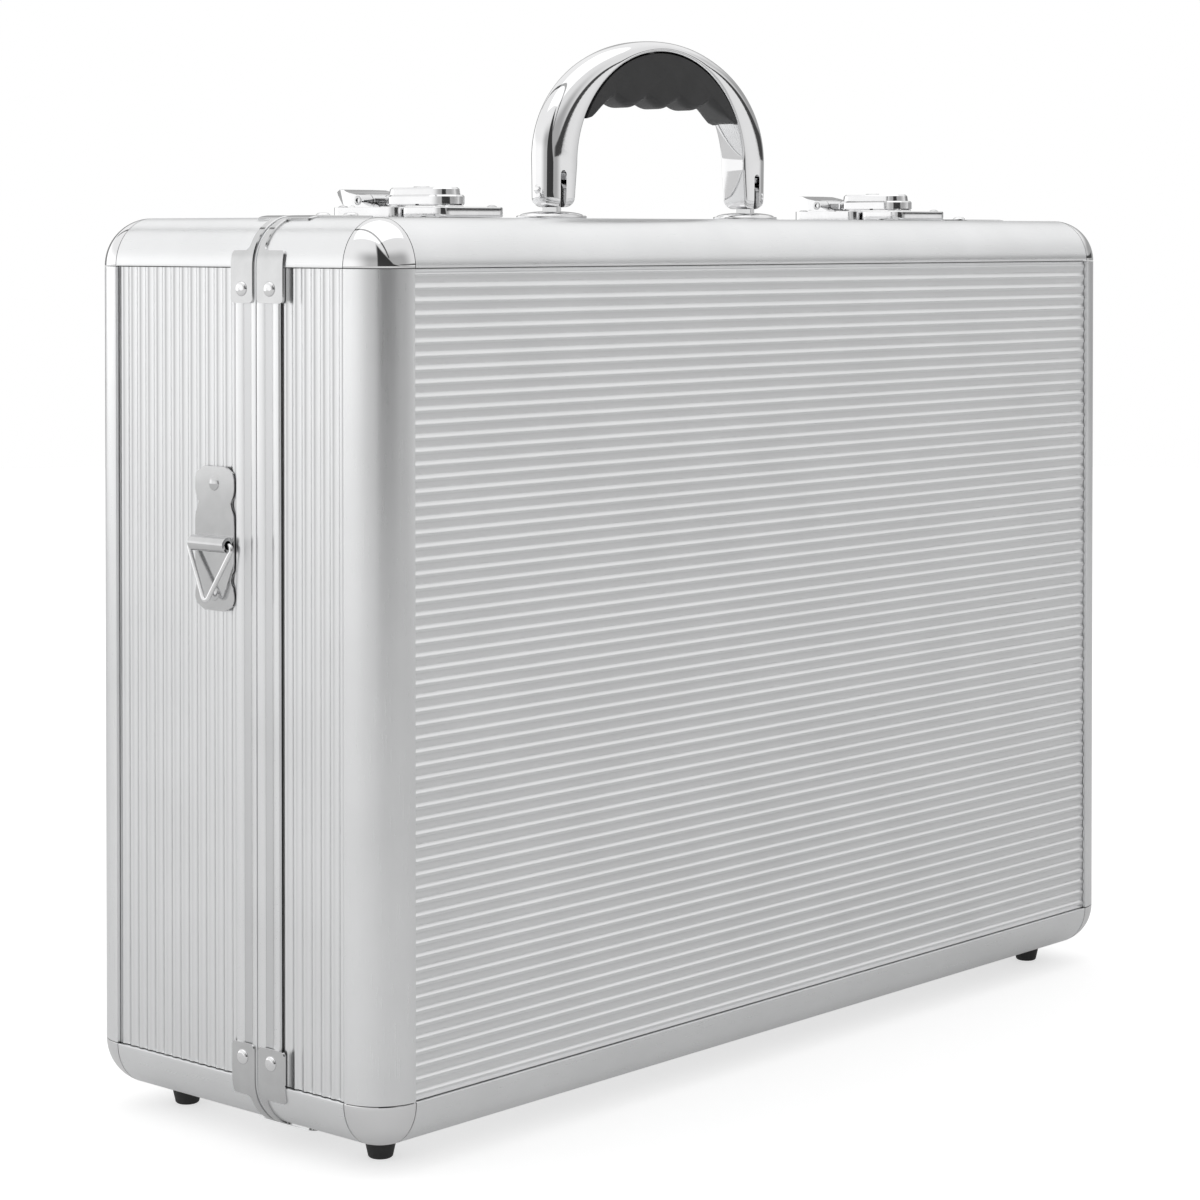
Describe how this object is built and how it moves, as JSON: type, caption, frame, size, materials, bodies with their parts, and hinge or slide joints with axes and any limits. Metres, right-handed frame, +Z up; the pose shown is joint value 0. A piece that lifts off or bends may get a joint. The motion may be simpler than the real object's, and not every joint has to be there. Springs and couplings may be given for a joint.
{
  "type": "aluminium attache case",
  "caption": "Hard attache case with ribbed aluminium faces, rounded edge extrusions, chrome ball corners, draw latches, a folding arched handle and strap rings.",
  "frame": {"origin": "middle of the bottom of the case, on the floor under its four feet", "axes": "+Z up, +X along the length to the right seen from the lid side, -Y out of the lid's face"},
  "size_m": [0.4714, 0.1586, 0.4092],
  "materials": {
    "ribbed_aluminium": "ribbed satin anodised sheet",
    "satin_aluminium": "smooth satin anodised extrusion",
    "chrome": "polished chrome plate",
    "nickel_plate": "nickel plated pressed steel",
    "latch_steel": "bright plated pressed steel",
    "grip_plastic": "fine matt moulded plastic",
    "foot_rubber": "matt black rubber"
  },
  "bodies": {
    "base": {"base_back_panel": "ribbed_aluminium", "base_bottom_wall": "ribbed_aluminium", "base_cap_bottom_left": "chrome", "base_cap_bottom_right": "chrome", "base_cap_top_left": "chrome", "base_cap_top_right": "chrome", "base_edge_bottom": "satin_aluminium", "base_edge_left": "satin_aluminium", "base_edge_right": "satin_aluminium", "base_edge_top": "satin_aluminium", "base_left_wall": "ribbed_aluminium", "base_post_bottom_left": "satin_aluminium", "base_post_bottom_right": "satin_aluminium", "base_post_top_left": "satin_aluminium", "base_post_top_right": "satin_aluminium", "base_right_wall": "ribbed_aluminium", "base_rim": "satin_aluminium", "base_top_wall": "ribbed_aluminium", "foot_base_left": "foot_rubber", "foot_base_right": "foot_rubber", "handle_mount_left": "chrome", "handle_mount_right": "chrome", "hinge_leaf_base": "nickel_plate", "latch_plate_left": "latch_steel", "latch_plate_right": "latch_steel", "strap_plate_left": "nickel_plate", "strap_plate_right": "nickel_plate"},
    "lid": {"foot_lid_left": "foot_rubber", "foot_lid_right": "foot_rubber", "hinge_leaf_lid": "nickel_plate", "latch_strike_left": "latch_steel", "latch_strike_right": "latch_steel", "lid_bottom_wall": "ribbed_aluminium", "lid_cap_bottom_left": "chrome", "lid_cap_bottom_right": "chrome", "lid_cap_top_left": "chrome", "lid_cap_top_right": "chrome", "lid_edge_bottom": "satin_aluminium", "lid_edge_left": "satin_aluminium", "lid_edge_right": "satin_aluminium", "lid_edge_top": "satin_aluminium", "lid_front_panel": "ribbed_aluminium", "lid_left_wall": "ribbed_aluminium", "lid_post_bottom_left": "satin_aluminium", "lid_post_bottom_right": "satin_aluminium", "lid_post_top_left": "satin_aluminium", "lid_post_top_right": "satin_aluminium", "lid_right_wall": "ribbed_aluminium", "lid_rim": "satin_aluminium", "lid_top_wall": "ribbed_aluminium"},
    "handle": {"handle_bail": "chrome", "handle_grip": "grip_plastic"},
    "hasp_left": {"latch_hasp_left": "latch_steel"},
    "hasp_right": {"latch_hasp_right": "latch_steel"},
    "lever_left": {"latch_lever_left": "latch_steel"},
    "lever_right": {"latch_lever_right": "latch_steel"},
    "plug_left": {"lock_plug_left": "nickel_plate"},
    "plug_right": {"lock_plug_right": "nickel_plate"},
    "ring_left": {"strap_ring_left": "nickel_plate"},
    "ring_right": {"strap_ring_right": "nickel_plate"}
  },
  "joints": [
    {"name": "lid_hinge", "type": "hinge", "parent": "base", "child": "lid", "pos_m": [0, -0.0165, 0.0055], "axis": [1, 0, 0], "range_deg": [0, 100]},
    {"name": "handle_fold", "type": "hinge", "parent": "base", "child": "handle", "pos_m": [0, -0.0045, 0.3474], "axis": [1, 0, 0], "range_deg": [-90, 90]},
    {"name": "lever_left_lift", "type": "hinge", "parent": "base", "child": "lever_left", "pos_m": [-0.142, 0.002, 0.3377], "axis": [1, 0, 0], "range_deg": [0, 70]},
    {"name": "hasp_left_turn", "type": "hinge", "parent": "lever_left", "child": "hasp_left", "pos_m": [-0.142, 0.0096, 0.3423], "axis": [1, 0, 0], "range_deg": [-105, 0]},
    {"name": "lock_left_turn", "type": "hinge", "parent": "hasp_left", "child": "plug_left", "pos_m": [-0.142, -0.012, 0.3471], "axis": [0, 0, 1], "range_deg": [0, 90]},
    {"name": "ring_left_swing", "type": "hinge", "parent": "base", "child": "ring_left", "pos_m": [-0.2323, 0.0056, 0.2174], "axis": [0, 1, 0], "range_deg": [0, 150]},
    {"name": "lever_right_lift", "type": "hinge", "parent": "base", "child": "lever_right", "pos_m": [0.142, 0.002, 0.3377], "axis": [1, 0, 0], "range_deg": [0, 70]},
    {"name": "hasp_right_turn", "type": "hinge", "parent": "lever_right", "child": "hasp_right", "pos_m": [0.142, 0.0096, 0.3423], "axis": [1, 0, 0], "range_deg": [-105, 0]},
    {"name": "lock_right_turn", "type": "hinge", "parent": "hasp_right", "child": "plug_right", "pos_m": [0.142, -0.012, 0.3471], "axis": [0, 0, 1], "range_deg": [0, 90]},
    {"name": "ring_right_swing", "type": "hinge", "parent": "base", "child": "ring_right", "pos_m": [0.2323, 0.0056, 0.2174], "axis": [0, -1, 0], "range_deg": [0, 150]}
  ],
  "couplings": [
    {"joint": "hasp_left_turn", "follows": "lever_left_lift", "ratio": -1.5},
    {"joint": "hasp_right_turn", "follows": "lever_right_lift", "ratio": -1.5}
  ]
}
